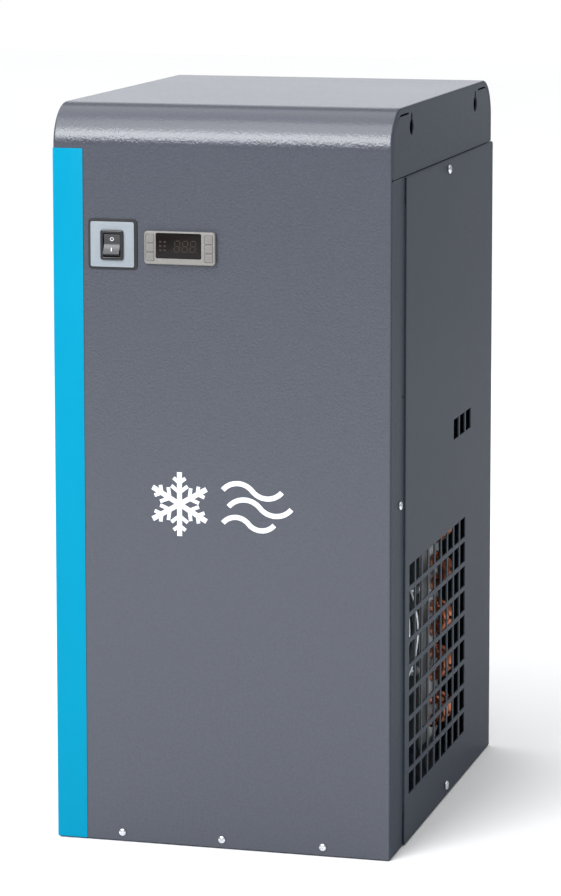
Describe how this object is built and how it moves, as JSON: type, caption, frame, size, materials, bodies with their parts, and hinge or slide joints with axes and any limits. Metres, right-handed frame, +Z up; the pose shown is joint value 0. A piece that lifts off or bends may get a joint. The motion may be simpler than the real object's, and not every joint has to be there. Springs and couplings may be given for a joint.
{
  "type": "refrigerated air dryer",
  "caption": "Floor-standing refrigerated dryer for compressed air: sheet-metal cabinet with mains rocker switch, digital controller, punched side grilles, fan-cooled condenser and drain.",
  "frame": {"origin": "middle of the base tray's underside, on the floor", "axes": "+X towards the cabinet's right side seen from the front, -Y towards the front panel, +Z up"},
  "size_m": [0.3646, 0.5129, 0.764],
  "materials": {
    "front_paint": "textured powder coat",
    "side_paint": "textured powder coat",
    "cyan_vinyl": "printed film",
    "zinc": "bright zinc plating",
    "galvanised": "galvanised sheet and wire",
    "black_steel": "black enamel",
    "black_plastic": "fine moulded grain",
    "grey_plastic": "satin, warm silver grey",
    "pale_label": "satin film",
    "smoked_lens": "clear smoked window",
    "black_rubber": "matt",
    "copper": "drawn copper tube",
    "brass": "turned brass",
    "aluminium_fin": "bare",
    "black_foam": "closed-cell insulation",
    "red_lever": "dipped coating"
  },
  "bodies": {
    "cabinet": {"front_top_cover": "front_paint", "accent_strip": "cyan_vinyl", "right_side_panel": "side_paint", "left_side_panel": "side_paint", "rear_panel": "side_paint", "base_tray": "side_paint", "inner_bulkhead": "galvanised", "electrical_box": "galvanised", "condenser_frame": "galvanised", "fan_guard": "galvanised", "front_screw_left": "zinc", "front_screw_middle": "zinc", "front_screw_right": "zinc", "left_panel_screw_bottom": "zinc", "left_panel_screw_top": "zinc", "left_flange_screw": "zinc", "right_panel_screw_bottom": "zinc", "right_panel_screw_top": "zinc", "right_flange_screw": "zinc", "switch_gasket": "black_rubber", "compressor_grommet_1": "black_rubber", "compressor_grommet_2": "black_rubber", "compressor_grommet_3": "black_rubber", "compressor_grommet_4": "black_rubber", "drain_tube": "black_rubber", "switch_plate": "pale_label", "switch_body": "black_plastic", "controller_housing": "black_plastic", "compressor_terminal_cover": "black_plastic", "drain_solenoid_valve": "black_plastic", "cable_gland": "black_plastic", "controller_frame": "grey_plastic", "controller_lens": "smoked_lens", "condenser_fins": "aluminium_fin", "moisture_separator": "aluminium_fin", "condenser_tube": "copper", "discharge_line": "copper", "liquid_line": "copper", "filter_dryer": "copper", "capillary_tube": "copper", "suction_line": "copper", "fan_shroud": "black_steel", "fan_motor": "black_steel", "compressor_shell": "black_steel", "compressor_foot_plate": "black_steel", "hot_gas_valve": "brass", "air_inlet_fitting": "brass", "air_outlet_fitting": "brass", "drain_ball_valve": "brass", "drain_outlet": "brass", "heat_exchanger": "black_foam"},
    "rocker": {"switch_rocker": "black_plastic"},
    "fan": {"fan_rotor": "black_steel"},
    "drain_lever": {"drain_valve_lever": "red_lever"},
    "key_left_top": {"key_left_top": "grey_plastic"},
    "key_left_middle": {"key_left_middle": "grey_plastic"},
    "key_left_bottom": {"key_left_bottom": "grey_plastic"},
    "key_right_top": {"key_right_top": "grey_plastic"},
    "key_right_middle": {"key_right_middle": "grey_plastic"},
    "key_right_bottom": {"key_right_bottom": "grey_plastic"}
  },
  "joints": [
    {"name": "rocker_tilt", "type": "hinge", "parent": "cabinet", "child": "rocker", "pos_m": [-0.1134, -0.2403, 0.622], "axis": [1, 0, 0], "range_deg": [0, 24]},
    {"name": "fan_spin", "type": "hinge", "parent": "cabinet", "child": "fan", "pos_m": [0.028, 0.0107, 0.189], "axis": [0, 1, 0], "continuous": true},
    {"name": "drain_lever_turn", "type": "hinge", "parent": "cabinet", "child": "drain_lever", "pos_m": [-0.1423, 0.1478, 0.2564], "axis": [1, 0, 0], "range_deg": [0, 90]},
    {"name": "key_left_top_press", "type": "slide", "parent": "cabinet", "child": "key_left_top", "axis": [0, 1, 0], "range_m": [0, 0.0008], "stiffness_N_per_m": 300},
    {"name": "key_left_middle_press", "type": "slide", "parent": "cabinet", "child": "key_left_middle", "axis": [0, 1, 0], "range_m": [0, 0.0008], "stiffness_N_per_m": 300},
    {"name": "key_left_bottom_press", "type": "slide", "parent": "cabinet", "child": "key_left_bottom", "axis": [0, 1, 0], "range_m": [0, 0.0008], "stiffness_N_per_m": 300},
    {"name": "key_right_top_press", "type": "slide", "parent": "cabinet", "child": "key_right_top", "axis": [0, 1, 0], "range_m": [0, 0.0008], "stiffness_N_per_m": 300},
    {"name": "key_right_middle_press", "type": "slide", "parent": "cabinet", "child": "key_right_middle", "axis": [0, 1, 0], "range_m": [0, 0.0008], "stiffness_N_per_m": 300},
    {"name": "key_right_bottom_press", "type": "slide", "parent": "cabinet", "child": "key_right_bottom", "axis": [0, 1, 0], "range_m": [0, 0.0008], "stiffness_N_per_m": 300}
  ]
}
